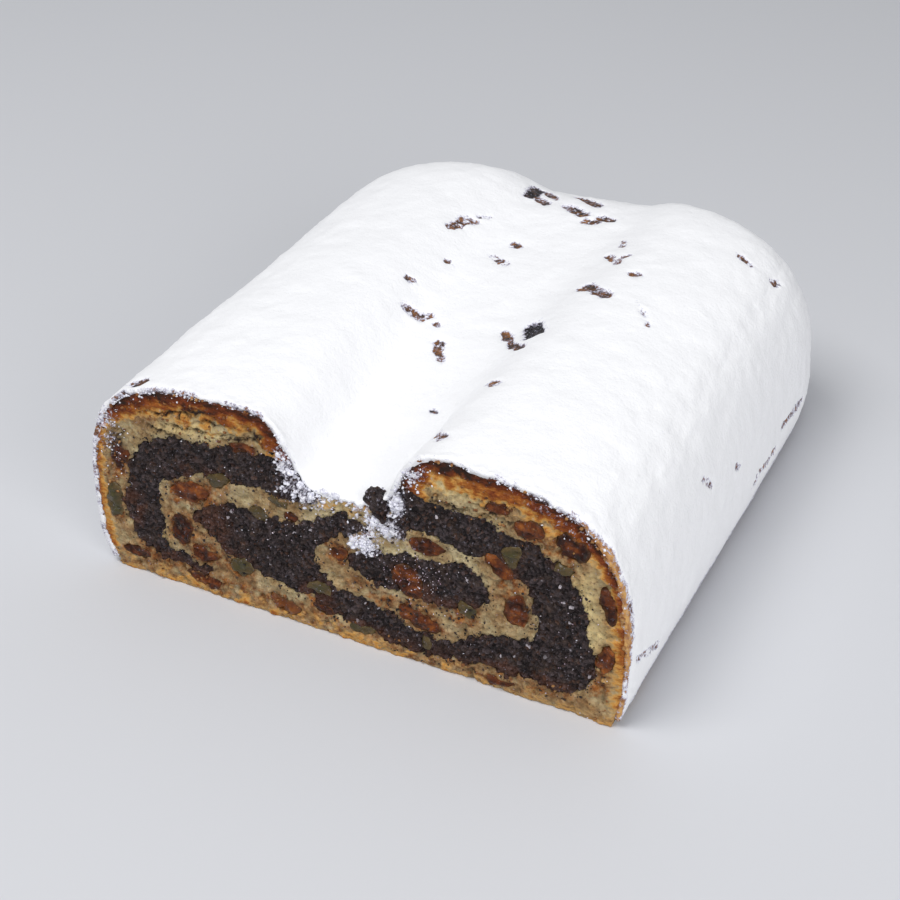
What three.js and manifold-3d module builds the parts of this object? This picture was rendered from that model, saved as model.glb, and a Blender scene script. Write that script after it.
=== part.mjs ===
// Half of a poppy-seed stollen: a sweet yeast loaf rolled up round a ground poppy-seed filling, baked, coated
// with icing sugar and cut across. It lies on its flat base with the cut face at the front and the closed,
// rounded end at the back.
// Millimetres. X runs across the loaf, Y from the cut face to the round end, Z up; the origin is the middle
// of the base.
import * as THREE from "three";
import { mergeVertices } from "three/addons/utils/BufferGeometryUtils.js";
import Module from "manifold-3d";

const wasm = await Module();
wasm.setup();

// ---------------------------------------------------------------- driving sizes
const LOAF_WIDTH = 146.6; // baked dough, without the sugar
const LOAF_LENGTH = 170.5;
const ROLL_HEIGHT = { left: 61.3, right: 63 };
const ROLL_BLEND = 0.3; // share of the half turn over which one roll's height passes into the other's
const SUGAR_DEPTH = 1.4; // how thick the icing sugar lies
const SEAT_GAP = 0.3; // clearance between solids that touch
const HEM_HEIGHT = 2.4; // the sugar stops this far above the table

// The rounded flanks and shoulders: each side of the section is a superellipse of this power.
const SHOULDER_POWER = { left: 5.2, right: 4.6 };
const FOOT_HEIGHT = 14; // the flanks tuck in below this
const FOOT_TUCK = { left: 0.055, right: 0.028 }; // by this share of the half width

// The long cleft where the two rolls meet on top, deepest at the cut.
const CLEFT_DEPTH = 19;
const CLEFT_DEPTH_AT_END = 4;
const CLEFT_FADE = 58; // distance over which it gets shallower
const CLEFT_HALF_WIDTH = 15.3;
const CLEFT_WIDENING = 0.075; // half width gained for each millimetre towards the end
const CLEFT_WALL_POWER = 9;
const CLEFT_X = 0.3;

// The closed end: how far before the end the flanks, the top and the base start to round off.
const END_ROUNDING = {
  flank: { run: 46, powerAtBase: 5, powerAtTop: 2.2 },
  top: { run: 34, power: 2.2 },
  base: { run: 10, power: 2 },
};
const END_NOSE_HEIGHT = 22; // height of the loaf's rearmost point
const END_CRUST = 12; // dough left beyond the filling
const FILLING_STOP = 6; // the filling ends this far before its own taper would close

// How finely the solids are faceted.
const SKIN_POINTS = 40;
const CROWN_SPACING = 0.56; // points lie this much closer together on the crown than on average
const STRAIGHT_RINGS = 4;
const ROUND_RINGS = 6;
const BAND_STEPS = 2; // points for each station of a band
const LEAST_STEP = 0.6; // least distance between two points of a band's side
const BAND_RINGS = [0, 26]; // rings of a filling, counted from where the end starts to round off
const LUMP_SEGMENTS = { around: 8, down: 5 };

const FRONT = -(LOAF_LENGTH + SUGAR_DEPTH + SEAT_GAP) / 2; // the cut face
const BEYOND = 400; // past every side of the loaf

// The filling as it shows in the cut. Each band follows its stations: across, up, half thickness.
const LEFT_BAND = [
  [-4.5, 45.6, 1.6], [-10, 44.4, 3.6], [-16, 44.3, 5.5], [-24, 44.4, 4.6], [-34, 44, 5.1], [-44, 42.6, 5.6],
  [-52, 39.6, 5.6], [-57.8, 33.6, 5], [-59.6, 25.4, 4.6], [-59.2, 16.8, 5], [-56.5, 11.2, 3.3],
  [-49, 8.9, 2], [-39.5, 8.5, 1],
];
const RIGHT_BAND = [
  [12.5, 45.8, 4.4], [20, 46.4, 5.2], [28, 45.4, 5.2], [36, 44.3, 5.9], [44, 42.4, 5.4], [51.5, 39.5, 6.2],
  [56.6, 33, 5.9], [57.7, 26.5, 6], [58.4, 21, 7], [58, 14.2, 8.8], [53.2, 13, 6.8], [48, 12, 5.6],
  [39, 10.7, 5], [30.5, 8, 2.7], [22.5, 6.6, 3], [15, 7.1, 3.8], [7, 9.8, 4.8], [-1, 11, 4.4],
  [-8, 13.4, 4.8],
];
const LEFT_LENS = [
  [-44.2, 24.2, 0.6], [-41, 24.2, 3.4], [-36, 23.8, 6.4], [-30, 23.4, 8.2], [-24, 22.4, 9.4],
  [-17, 21.4, 10], [-11, 20.8, 10.2], [-7.4, 22, 7.5],
];
const LENS_TONGUE = [
  [-12, 28.2, 3.2], [-6, 32.6, 3], [-1, 36.1, 2.5], [3.5, 37.4, 1.6], [5.8, 37.1, 0.6],
];
const CORE_BAND = [
  [0.8, 25.6, 0.8], [5, 26.2, 4.2], [12, 26.2, 5.2], [20, 26.5, 5.7], [28, 27.5, 6.5], [34, 28.3, 6],
  [38.4, 28, 2.6],
];

// Fruit that the knife went through: across, up, length, thickness, tilt in degrees, depth of its middle
// behind the cut.
const RAISINS = [
  [22.4, 36.9, 11.5, 5, 6, 1.5],
  [17, 24.6, 11.6, 8.6, -62, 1],
  [20.6, 13.9, 13.4, 5.6, -14, 1.8],
  [46, 26.6, 10.4, 7.4, 80, 1.2],
  [41, 54.3, 6.8, 3.8, -10, 0.8],
  [48.5, 51, 8.4, 6, 10, 1.4],
  [59, 49.5, 9.4, 6.8, -35, 1],
  [68.6, 35.6, 12.6, 4, -74, 1.2],
  [69, 20, 9.2, 5.4, 86, 1.6],
  [41.2, 37.7, 8, 4.4, -28, 0.6],
  [-44.2, 31.6, 11.4, 5.8, 8, 1.4],
  [-48, 18.4, 9.6, 7.4, 80, 1.2],
  [-41.4, 12.8, 7.6, 4.4, -6, 0.6],
  [-63, 6.6, 10, 4.2, -5, 1.6],
  [-42.3, 4.4, 10.4, 4, -8, 1.2],
  [-27.6, 50.2, 8.6, 3, 4, 0.6],
  [-65.4, 36.6, 7.8, 5.4, 62, 1],
  [-15, 33.4, 4.6, 2.6, 12, 0.4],
  [-7, 7.3, 7.4, 3, -8, 0.6],
  [-1.8, 27, 5.2, 4.4, 30, 0.6],
  [42.5, 2.7, 8.8, 2.8, 3, 0.8],
];
const PEEL = [
  [-35.4, 38, 6.2, 4.8, 30, 0.8],
  [-18.2, 37, 5.6, 2.2, -6, 0.4],
  [-24, 31.6, 5.2, 4.4, -20, 0.8],
  [-68.2, 22, 11, 5.4, 86, 1.4],
  [-31, 12.8, 6.4, 5.4, 20, 0.8],
  [-18.4, 4.9, 9.8, 4.2, -16, 1],
  [-7.8, 13.8, 7, 4.4, 4, 0.6],
  [4, 4.6, 7.4, 2.8, 0, 0.6],
  [22, 7, 3.8, 3.2, 70, 0.6],
  [33.4, 22.4, 5, 3.4, -12, 0.6],
  [44.4, 42.2, 5.8, 4, 66, 0.8],
  [57.6, 42.6, 6, 3.2, -8, 0.6],
];
const LUMP_ROUNDNESS = { raisin: 1, peel: 0.72, crumb: 0.85 };
const LUMP_DEPTH_SHARE = 0.9; // a piece's reach into the loaf, against its length
const CLEFT_CRUMB = { x: 9.2, z: 46.3, width: 5.8, height: 8.2, tilt: 98, behind: 1.2 };

// ---------------------------------------------------------------- the loaf's own shape
/** 1 until the end starts to round off, then down to 0 at `length` along a superellipse. */
function endShrink(y, length, run, power) {
  const share = THREE.MathUtils.clamp((y - (length - run)) / run, 0, 1);
  return (1 - share ** power) ** (1 / power);
}

/** A point of the straight section, drawn in as the loaf closes. y counts from the cut face. */
function drawnIn(x, z, y, length) {
  const { flank, top, base } = END_ROUNDING;
  const upShare = THREE.MathUtils.clamp(z / ROLL_HEIGHT.left, 0, 1);
  const flankPower = THREE.MathUtils.lerp(flank.powerAtBase, flank.powerAtTop, upShare);
  const part = z > END_NOSE_HEIGHT ? top : base;
  return new THREE.Vector3(
    x * endShrink(y, length, flank.run, flankPower),
    FRONT + y,
    END_NOSE_HEIGHT + (z - END_NOSE_HEIGHT) * endShrink(y, length, part.run, part.power),
  );
}

/** How far the cleft lowers the top at x. */
function cleftAt(x, y, grow) {
  const fade = Math.exp(-Math.max(y, 0) / CLEFT_FADE);
  const depth = THREE.MathUtils.lerp(CLEFT_DEPTH_AT_END, CLEFT_DEPTH, fade);
  const halfWidth = CLEFT_HALF_WIDTH + CLEFT_WIDENING * y - grow;
  return depth / (1 + Math.abs((x - CLEFT_X) / halfWidth) ** CLEFT_WALL_POWER);
}

/** A point of the skin, `grow` outside the baked surface. The angle runs from the right foot to the left. */
function skinPoint(angle, y, grow) {
  const across = Math.cos(angle);
  const up = Math.sin(angle);
  const side = across > 0 ? "right" : "left";
  const power = SHOULDER_POWER[side];
  const halfWidth = LOAF_WIDTH / 2 + grow;
  const blend = THREE.MathUtils.smoothstep(across, -ROLL_BLEND, ROLL_BLEND);
  const height = THREE.MathUtils.lerp(ROLL_HEIGHT.left, ROLL_HEIGHT.right, blend) + grow;
  const reach = ((Math.abs(across) / halfWidth) ** power + (up / height) ** power) ** (-1 / power);
  const z = reach * up;
  const tuck = 1 - FOOT_TUCK[side] * Math.max(0, 1 - z / FOOT_HEIGHT) ** 2;
  const x = reach * across * tuck;
  return drawnIn(x, z - cleftAt(x, y, grow), y, LOAF_LENGTH + grow);
}

// ---------------------------------------------------------------- making solids
/** A closed solid from rings of equal length, each joined to the next, with both ends filled. */
function loft(rings) {
  const size = rings[0].length;
  const positions = rings.flat().flatMap((p) => [p.x, p.y, p.z]);
  const faces = [];
  for (let r = 0; r + 1 < rings.length; r++) {
    for (let i = 0; i < size; i++) {
      const a = r * size + i;
      const b = r * size + ((i + 1) % size);
      faces.push(a, b + size, b, a, a + size, b + size);
    }
  }
  const cap = THREE.ShapeUtils.triangulateShape(rings[0].map((p) => new THREE.Vector2(p.x, p.z)), []);
  const last = (rings.length - 1) * size;
  for (const [a, b, c] of cap) faces.push(a, b, c, last + a, last + c, last + b);
  const geometry = new THREE.BufferGeometry();
  geometry.setAttribute("position", new THREE.Float32BufferAttribute(positions, 3));
  geometry.setIndex(faces);
  return solidOf(geometry);
}

/** A geometry as a manifold-3d solid. */
function solidOf(geometry) {
  const bare = geometry.clone();
  bare.deleteAttribute("normal");
  bare.deleteAttribute("uv");
  const merged = mergeVertices(bare, 1e-4);
  return new wasm.Manifold(
    new wasm.Mesh({
      numProp: 3,
      vertProperties: new Float32Array(merged.attributes.position.array),
      triVerts: new Uint32Array(merged.index.array),
    }),
  );
}

/** A manifold-3d solid as a geometry. */
function geometryOf(solid) {
  const mesh = solid.getMesh();
  const geometry = new THREE.BufferGeometry();
  geometry.setAttribute("position", new THREE.BufferAttribute(mesh.vertProperties, 3));
  geometry.setIndex(new THREE.BufferAttribute(mesh.triVerts, 1));
  geometry.computeVertexNormals();
  return geometry;
}

/** The largest single body of a solid, without any slivers that a cut left loose. */
function mainBody(solid) {
  const bodies = solid.decompose();
  return bodies.reduce((best, body) => (body.volume() > best.volume() ? body : best));
}

/** A box from one corner to the other, as a solid. */
function block(low, high) {
  const size = new THREE.Vector3(...high).sub(new THREE.Vector3(...low));
  const middle = new THREE.Vector3(...low).addScaledVector(size, 0.5);
  return solidOf(new THREE.BoxGeometry(size.x, size.y, size.z).translate(middle.x, middle.y, middle.z));
}

/** The whole loaf, `grow` outside its baked surface, from `start` (0 is the cut face) to the round end. */
function loaf(grow, start = 0) {
  const length = LOAF_LENGTH + grow;
  const roundFrom = length - END_ROUNDING.flank.run;
  const ys = [];
  for (let i = 0; i < STRAIGHT_RINGS; i++) {
    ys.push(THREE.MathUtils.lerp(start, roundFrom, i / STRAIGHT_RINGS));
  }
  for (let i = 0; i <= ROUND_RINGS; i++) {
    ys.push(roundFrom + END_ROUNDING.flank.run * Math.sin((Math.PI / 2) * (i / ROUND_RINGS)));
  }
  return loft(ys.map((y) => {
    const ring = [];
    for (let i = 0; i < SKIN_POINTS; i++) {
      const t = (2 * i) / (SKIN_POINTS - 1) - 1;
      const turn = t * (CROWN_SPACING + (1 - CROWN_SPACING) * t * t);
      ring.push(skinPoint((Math.PI / 2) * (1 + turn), y, grow));
    }
    return ring;
  }));
}

/** A closed outline moved outwards by `grow`. */
function grown(outline, grow) {
  return outline.map((p, i) => {
    const before = outline[(i + outline.length - 1) % outline.length];
    const after = outline[(i + 1) % outline.length];
    const into = new THREE.Vector2(p.x - before.x, p.z - before.z).normalize();
    const out = new THREE.Vector2(after.x - p.x, after.z - p.z).normalize();
    const aside = new THREE.Vector2(into.y + out.y, -into.x - out.x).normalize();
    const reach = grow / Math.max(0.5, aside.dot(new THREE.Vector2(into.y, -into.x)));
    return new THREE.Vector3(p.x + aside.x * reach, p.y, p.z + aside.y * reach);
  });
}

/** Adds a point to one side of a band, unless the inside of a bend would make it step back. */
function extend(side, x, z, along) {
  const last = side[side.length - 1];
  const ahead = last ? (x - last[0]) * along.x + (z - last[1]) * along.y : Infinity;
  if (ahead > LEAST_STEP) side.push([x, z]);
}

/** A band of filling along its stations, `grow` larger all round, run from the cut into the round end. */
function band(stations, grow) {
  const places = stations.map((s) => new THREE.Vector3(...s));
  const curve = new THREE.CatmullRomCurve3(places, false, "centripetal");
  const steps = (stations.length - 1) * BAND_STEPS;
  const right = [];
  const left = [];
  for (let i = 0; i <= steps; i++) {
    const p = curve.getPoint(i / steps);
    const along = curve.getTangent(i / steps);
    const aside = new THREE.Vector2(-along.y, along.x).setLength(p.z);
    const ahead = new THREE.Vector2(along.x, along.y).normalize();
    extend(left, p.x + aside.x, p.y + aside.y, ahead);
    extend(right, p.x - aside.x, p.y - aside.y, ahead);
  }
  const outline = [...right, ...left.reverse()];
  const length = LOAF_LENGTH - END_CRUST;
  const roundFrom = length - END_ROUNDING.flank.run;
  const ys = [0, ...BAND_RINGS.map((y) => roundFrom + y), length - FILLING_STOP];
  const rings = ys.map((y) => grown(outline.map(([x, z]) => drawnIn(x, z, y, length)), grow));
  if (grow > 0) {
    const shifted = (ring, dy) => ring.map((p) => new THREE.Vector3(p.x, p.y + dy, p.z));
    rings.unshift(shifted(rings[0], -1));
    rings.push(shifted(rings[rings.length - 1], grow));
  }
  return loft(rings);
}

/** A rounded piece the knife went through, `grow` larger all round, cut off flush with the cut face. */
function lump([x, z, length, thickness, tilt, behind], roundness, grow) {
  const ball = new THREE.SphereGeometry(1, LUMP_SEGMENTS.around, LUMP_SEGMENTS.down);
  const at = ball.getAttribute("position");
  for (let i = 0; i < at.count; i++) {
    const p = new THREE.Vector3().fromBufferAttribute(at, i);
    const squared = (v) => Math.sign(v) * Math.abs(v) ** roundness;
    at.setXYZ(i, squared(p.x), squared(p.y), squared(p.z));
  }
  const deep = (length * LUMP_DEPTH_SHARE) / 2;
  ball.scale(length / 2 + grow, deep + grow, thickness / 2 + grow);
  ball.rotateY(-THREE.MathUtils.degToRad(tilt));
  ball.translate(x, FRONT + behind, z);
  const front = grow > 0 ? FRONT - 1 : FRONT;
  return solidOf(ball).intersect(block([-BEYOND, front, -BEYOND], [BEYOND, BEYOND, BEYOND]));
}

// ---------------------------------------------------------------- the pieces
const fruit = [
  ...RAISINS.map((size, i) => ({ kind: "raisin", number: i + 1, size })),
  ...PEEL.map((size, i) => ({ kind: "peel", number: i + 1, size })),
];
const crumbSize = [
  CLEFT_CRUMB.x, CLEFT_CRUMB.z, CLEFT_CRUMB.height, CLEFT_CRUMB.width, CLEFT_CRUMB.tilt, CLEFT_CRUMB.behind,
];

const fillings = {
  filling_left: [LEFT_BAND],
  filling_right: [RIGHT_BAND, LEFT_LENS, LENS_TONGUE],
  filling_core: [CORE_BAND],
};

/** All bands of one filling joined. */
function fillingBody(bands, grow) {
  return bands.map((stations) => band(stations, grow)).reduce((all, next) => all.add(next));
}

/** Takes the seats of all the fruit out of a solid. */
function seatFruit(solid) {
  return fruit.reduce((rest, f) => rest.subtract(lump(f.size, LUMP_ROUNDNESS[f.kind], SEAT_GAP)), solid);
}

function makeDough() {
  const seats = Object.values(fillings).map((bands) => fillingBody(bands, SEAT_GAP));
  const hollow = seats.reduce((rest, seat) => rest.subtract(seat), loaf(0));
  return mainBody(seatFruit(hollow));
}

function makeFilling(bands) {
  return mainBody(seatFruit(fillingBody(bands, 0).intersect(loaf(0))));
}

function makeSugarCoat() {
  const shell = loaf(SEAT_GAP + SUGAR_DEPTH).subtract(loaf(SEAT_GAP, -1));
  const trimmed = shell.subtract(block([-BEYOND, -BEYOND, -BEYOND], [BEYOND, BEYOND, HEM_HEIGHT]));
  return mainBody(trimmed.subtract(lump(crumbSize, LUMP_ROUNDNESS.crumb, SEAT_GAP)));
}

/** The crumb of filling that stands in the cleft, clear of the dough below it. */
function makeCleftCrumb() {
  return mainBody(lump(crumbSize, LUMP_ROUNDNESS.crumb, 0).subtract(loaf(SEAT_GAP, -1)));
}

const LOOKS = {
  dough: { color: "#c99a5b", roughness: 0.8 },
  filling: { color: "#3a3536", roughness: 0.75 },
  raisin: { color: "#7a4526", roughness: 0.45 },
  peel: { color: "#7d7a4a", roughness: 0.4 },
  sugar: { color: "#f7f7fb", roughness: 0.95 },
};
const materials = {};
for (const [name, look] of Object.entries(LOOKS)) {
  materials[name] = new THREE.MeshStandardMaterial({ ...look, metalness: 0 });
}

const stollen = new THREE.Group();

function addPiece(name, solid, look) {
  const mesh = new THREE.Mesh(geometryOf(solid), materials[look]);
  mesh.name = name;
  stollen.add(mesh);
}

addPiece("dough", makeDough(), "dough");
for (const [name, bands] of Object.entries(fillings)) addPiece(name, makeFilling(bands), "filling");
addPiece("cleft_crumb", makeCleftCrumb(), "filling");
addPiece("sugar_coat", makeSugarCoat(), "sugar");
for (const f of fruit) {
  const name = `${f.kind}_${String(f.number).padStart(2, "0")}`;
  addPiece(name, lump(f.size, LUMP_ROUNDNESS[f.kind], 0), f.kind);
}

export default stollen;
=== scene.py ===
"""Half of a poppy-seed stollen, cut across and coated with icing sugar.

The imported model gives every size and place. X runs across the loaf, -Y faces the cut, Z is up; metres.
"""

import math
import random

import bpy
import numpy as np
from mathutils import Matrix, Vector, noise
from mathutils.bvhtree import BVHTree


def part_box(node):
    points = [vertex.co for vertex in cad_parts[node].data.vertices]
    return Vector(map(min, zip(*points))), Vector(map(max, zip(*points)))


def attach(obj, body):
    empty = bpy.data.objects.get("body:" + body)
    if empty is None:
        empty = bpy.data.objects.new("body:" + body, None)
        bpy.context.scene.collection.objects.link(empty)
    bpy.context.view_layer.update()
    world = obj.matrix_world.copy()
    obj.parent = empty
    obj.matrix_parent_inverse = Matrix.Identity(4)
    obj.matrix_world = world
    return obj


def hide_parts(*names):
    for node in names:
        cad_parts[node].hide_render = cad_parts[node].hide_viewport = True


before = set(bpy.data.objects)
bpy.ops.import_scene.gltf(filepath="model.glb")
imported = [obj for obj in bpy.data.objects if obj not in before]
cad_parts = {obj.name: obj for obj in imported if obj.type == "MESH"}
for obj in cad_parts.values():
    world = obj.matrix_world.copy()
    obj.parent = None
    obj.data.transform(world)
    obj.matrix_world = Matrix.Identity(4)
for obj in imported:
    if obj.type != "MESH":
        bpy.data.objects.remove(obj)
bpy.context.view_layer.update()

# ---------------------------------------------------------------------------------------------------------
# Camera: it looks down on the cut from the loaf's right, as one does at a cake on a table, and from nearly
# half a metre away.
# ---------------------------------------------------------------------------------------------------------
cut_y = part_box("dough")[0].y
camera_data = bpy.data.cameras.new("camera")
camera_data.sensor_width = 36
camera_data.lens = 69.88
camera = bpy.data.objects.new("camera", camera_data)
camera.location = (0.1716, cut_y - 0.2894, 0.2906)
camera.rotation_euler = (math.radians(90 - 34.7), 0, math.radians(26.3))
bpy.context.scene.collection.objects.link(camera)
bpy.context.scene.camera = camera
bpy.context.scene.view_settings.view_transform = "Standard"

# ---------------------------------------------------------------------------------------------------------
# Studio: a plain matt table top of pale grey laminate under a wide soft window light and a weaker fill.
# It isn't part of the loaf.
# ---------------------------------------------------------------------------------------------------------
FLOOR_GREY = "#d3d4d8"
KEY_WATTS = 8.2
FILL_WATTS = 4.5
SKY_STRENGTH = 0.38


def linear(colour):
    """An sRGB hex colour as linear red, green, blue and a full alpha."""
    parts = [int(colour[i : i + 2], 16) / 255 for i in (1, 3, 5)]
    return [c / 12.92 if c <= 0.04045 else ((c + 0.055) / 1.055) ** 2.4 for c in parts] + [1]


def add_node(tree, kind, inputs=None, stops=None, **settings):
    """Adds a node to a material. An input is given a number, a colour or another node's output."""
    made = tree.nodes.new(kind)
    for name, value in settings.items():
        setattr(made, name, value)
    for name, value in (inputs or {}).items():
        if isinstance(value, bpy.types.NodeSocket):
            tree.links.new(value, made.inputs[name])
        else:
            made.inputs[name].default_value = value
    for number, (place, colour) in enumerate(stops or []):
        ramp = made.color_ramp.elements
        stop = ramp[number] if number < 2 else ramp.new(place)
        stop.position = place
        stop.color = linear(colour)
    return made


def new_material(name, finish):
    """A node material with what is the same all over it. Colours and bumps are linked to its shader."""
    made = bpy.data.materials.new(name)
    made.use_nodes = True
    tree = made.node_tree
    tree.nodes.clear()
    shader = tree.nodes.new("ShaderNodeBsdfPrincipled")
    end = tree.nodes.new("ShaderNodeOutputMaterial")
    tree.links.new(shader.outputs[0], end.inputs["Surface"])
    for socket, value in finish.items():
        shader.inputs[socket].default_value = value
    return made, tree, shader


for light_name, watts, place, size in (
    ("window", KEY_WATTS, (-0.3, -0.45, 1.1), 0.6),
    ("fill", FILL_WATTS, (0.8, -0.6, 0.5), 0.6),
):
    light_data = bpy.data.lights.new(light_name, "AREA")
    light_data.energy = watts
    light_data.size = size
    light = bpy.data.objects.new(light_name, light_data)
    light.location = place
    light.rotation_euler = (Vector((0, 0, 0.03)) - Vector(place)).to_track_quat("-Z", "Y").to_euler()
    bpy.context.scene.collection.objects.link(light)

world = bpy.data.worlds.new("sky")
world.use_nodes = True
world.node_tree.nodes["Background"].inputs["Color"].default_value = (0.95, 0.97, 1, 1)
world.node_tree.nodes["Background"].inputs["Strength"].default_value = SKY_STRENGTH
bpy.context.scene.world = world

bpy.ops.object.select_all(action="DESELECT")
bpy.ops.mesh.primitive_plane_add(size=6, location=(0, 0, 0))
table_top = bpy.context.object
table_top.name = "table_top"
laminate, tree, shader = new_material(
    "matt_laminate", {"Base Color": linear(FLOOR_GREY), "Roughness": 0.75}
)
table_top.data.materials.append(laminate)

# ---------------------------------------------------------------------------------------------------------
# The cut: the knife leaves one rough surface across dough, filling and fruit. It is laid as one fine sheet
# of crumbs, each crumb goes to the piece it was cut from, and the sheet is then shared out to the pieces.
# ---------------------------------------------------------------------------------------------------------
MM = 0.001
CRUMB = 0.4 * MM  # one cell of the sheet
WANDER = ((5.0, 1.5), (1.9, 1.1), (0.9, 0.6))  # how the layers wander: wave and shift, in mm
FRUIT_WANDER = 0.6  # a fruit's firm edge wanders by this share
SEAM = 0.4 * MM  # a little more than the clearance between solids, which the crumbs close
BEFORE_CUT, BEHIND_CUT = 10 * MM, 0.2 * MM  # the search for the piece behind the cut starts and ends here
RIM_SNAP = 0.8 * MM  # crumbs on the rim move by up to this much to lie on the loaf's outline
cut_pieces = sorted(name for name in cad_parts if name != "sugar_coat")
is_fruit = np.array([name.startswith(("raisin", "peel")) for name in cut_pieces])


def faces_of(names):
    """The faces of some CAD nodes in one search tree, and the piece that each face belongs to."""
    points, faces, owner = [], [], []
    for name in names:
        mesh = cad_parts[name].data
        first = len(points)
        points += [v.co.copy() for v in mesh.vertices]
        faces += [[first + i for i in face.vertices] for face in mesh.polygons]
        owner += [cut_pieces.index(name)] * len(mesh.polygons)
    return BVHTree.FromPolygons(points, faces), owner


noise.seed_set(3)  # vector noise starts at a place of its own unless it is seeded
everything = faces_of(cut_pieces)
layers_only = faces_of([name for name in cut_pieces if not name.startswith(("raisin", "peel"))])


def piece_behind(x, z, search):
    """The piece just behind a point of the cut, or -1 outside the loaf."""
    tree, owner = search
    for dx, dz in ((0, 0), (SEAM, 0), (-SEAM, 0), (0, SEAM), (0, -SEAM)):
        start = Vector((x + dx, cut_y - BEFORE_CUT, z + dz))
        face = tree.ray_cast(start, Vector((0, 1, 0)), BEFORE_CUT + BEHIND_CUT)[2]
        if face is not None:
            return owner[face]
    return -1


def wander(x, z, share):
    """The shift of a point by layered noise."""
    shift = Vector((0, 0, 0))
    for wave, reach in WANDER:
        at = Vector((x, 0, z)) / (wave * MM)
        shift += noise.noise_vector(at) * reach * MM * share
    return shift


face_low, face_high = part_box("dough")
columns = math.ceil((face_high.x - face_low.x) / CRUMB)
rows = math.ceil((face_high.z - face_low.z) / CRUMB) + 1
bpy.ops.object.select_all(action="DESELECT")
bpy.ops.mesh.primitive_grid_add(
    x_subdivisions=columns, y_subdivisions=rows, size=1, rotation=(math.pi / 2, 0, 0)
)
cut = bpy.context.object
cut.name = "cut"
cut.scale = (columns * CRUMB, rows * CRUMB, 1)
cut.location = (face_low.x + columns * CRUMB / 2, cut_y, face_low.z + rows * CRUMB / 2)
bpy.ops.object.transform_apply(location=True, rotation=True, scale=True)

points = np.array([v.co for v in cut.data.vertices])
point_column = np.rint((points[:, 0] - face_low.x) / CRUMB).astype(int)
point_row = np.rint((points[:, 2] - face_low.z) / CRUMB).astype(int)
middles = np.array([face.center for face in cut.data.polygons])
cell_column = np.floor((middles[:, 0] - face_low.x) / CRUMB).astype(int)
cell_row = np.floor((middles[:, 2] - face_low.z) / CRUMB).astype(int)

label = np.full((columns, rows), -1)
for (x, _, z), i, k in zip(middles, cell_column, cell_row):
    found = piece_behind(x, z, everything)
    if found >= 0:
        firm = wander(x, z, FRUIT_WANDER)
        near = piece_behind(x + firm.x, z + firm.z, everything)
        if near >= 0 and is_fruit[near]:
            found = near
        else:
            loose = wander(x, z, 1)
            layer = piece_behind(x + loose.x, z + loose.z, layers_only)
            if layer >= 0:
                found = layer
            elif is_fruit[found]:
                found = max(piece_behind(x, z, layers_only), 0)
    label[i, k] = found


def shifted(grid, di, dk, fill):
    """A grid moved by whole cells."""
    moved = np.full_like(grid, fill)
    n, m = grid.shape
    moved[max(di, 0) : n + min(di, 0), max(dk, 0) : m + min(dk, 0)] = grid[
        max(-di, 0) : n + min(-di, 0), max(-dk, 0) : m + min(-dk, 0)
    ]
    return moved


# Below the crumb in the cleft a finger of filling was smeared down to the right-hand band.
FINGER_FROM, FINGER_TO = Vector((9.8, 44.6)), Vector((15.2, 38.4))  # x and z in mm
FINGER_HALF = 1.5  # half its width in mm
for (x, _, z), i, k in zip(middles, cell_column, cell_row):
    if label[i, k] == cut_pieces.index("dough"):
        at = Vector((x, z)) / MM
        line = FINGER_TO - FINGER_FROM
        share = min(max((at - FINGER_FROM).dot(line) / line.length_squared, 0), 1)
        ragged_edge = 0.9 * noise.noise(Vector((at.x, 0, at.y)) / 1.3)
        if (at - FINGER_FROM - line * share).length < FINGER_HALF + ragged_edge:
            label[i, k] = cut_pieces.index("filling_right")

# A crumb with three of its four neighbours in another piece goes over to that piece.
NEIGHBOURS = ((1, 0), (-1, 0), (0, 1), (0, -1))
for _ in range(2):
    around = np.stack([shifted(label, di, dk, -1) for di, dk in NEIGHBOURS])
    for number in range(4):
        same = (around == around[number]).sum(0)
        label = np.where((same >= 3) & (label >= 0) & (around[number] >= 0), around[number], label)

# The four cells round each corner of the sheet, and from them the corners that lie on a seam or the rim.
padded = np.full((columns + 2, rows + 2), -1)
padded[1:-1, 1:-1] = label
corner_cells = np.stack([padded[:-1, :-1], padded[1:, :-1], padded[:-1, 1:], padded[1:, 1:]])
inside = (corner_cells >= 0).any(0)
rim = inside & (corner_cells < 0).any(0)
seam = inside & (corner_cells.min(0) != corner_cells.max(0))


def depth_from(edge, steps):
    """Each corner's distance in metres from the nearest marked corner, up to some steps away."""
    depth = np.where(edge, 0.0, 1.0)
    for _ in range(steps):
        for di in (-1, 0, 1):
            for dk in (-1, 0, 1):
                if di or dk:
                    depth = np.minimum(depth, shifted(depth, di, dk, 1.0) + CRUMB * math.hypot(di, dk))
    return depth


from_rim = depth_from(rim | ~inside, 26)
from_seam = depth_from(seam, 12)
grid_x = face_low.x + np.arange(columns + 1)[:, None] * CRUMB + np.zeros((1, rows + 1))
grid_z = face_low.z + np.arange(rows + 1)[None, :] * CRUMB + np.zeros((columns + 1, 1))
for _ in range(3):
    count = sum(shifted(seam.astype(float), di, dk, 0) for di, dk in NEIGHBOURS)
    for grid in (grid_x, grid_z):
        total = sum(shifted(np.where(seam, grid, 0), di, dk, 0) for di, dk in NEIGHBOURS)
        smooth = np.divide(total, count, out=grid.copy(), where=count > 0)
        grid[:] = np.where(seam & ~rim, 0.45 * grid + 0.55 * smooth, grid)

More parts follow.
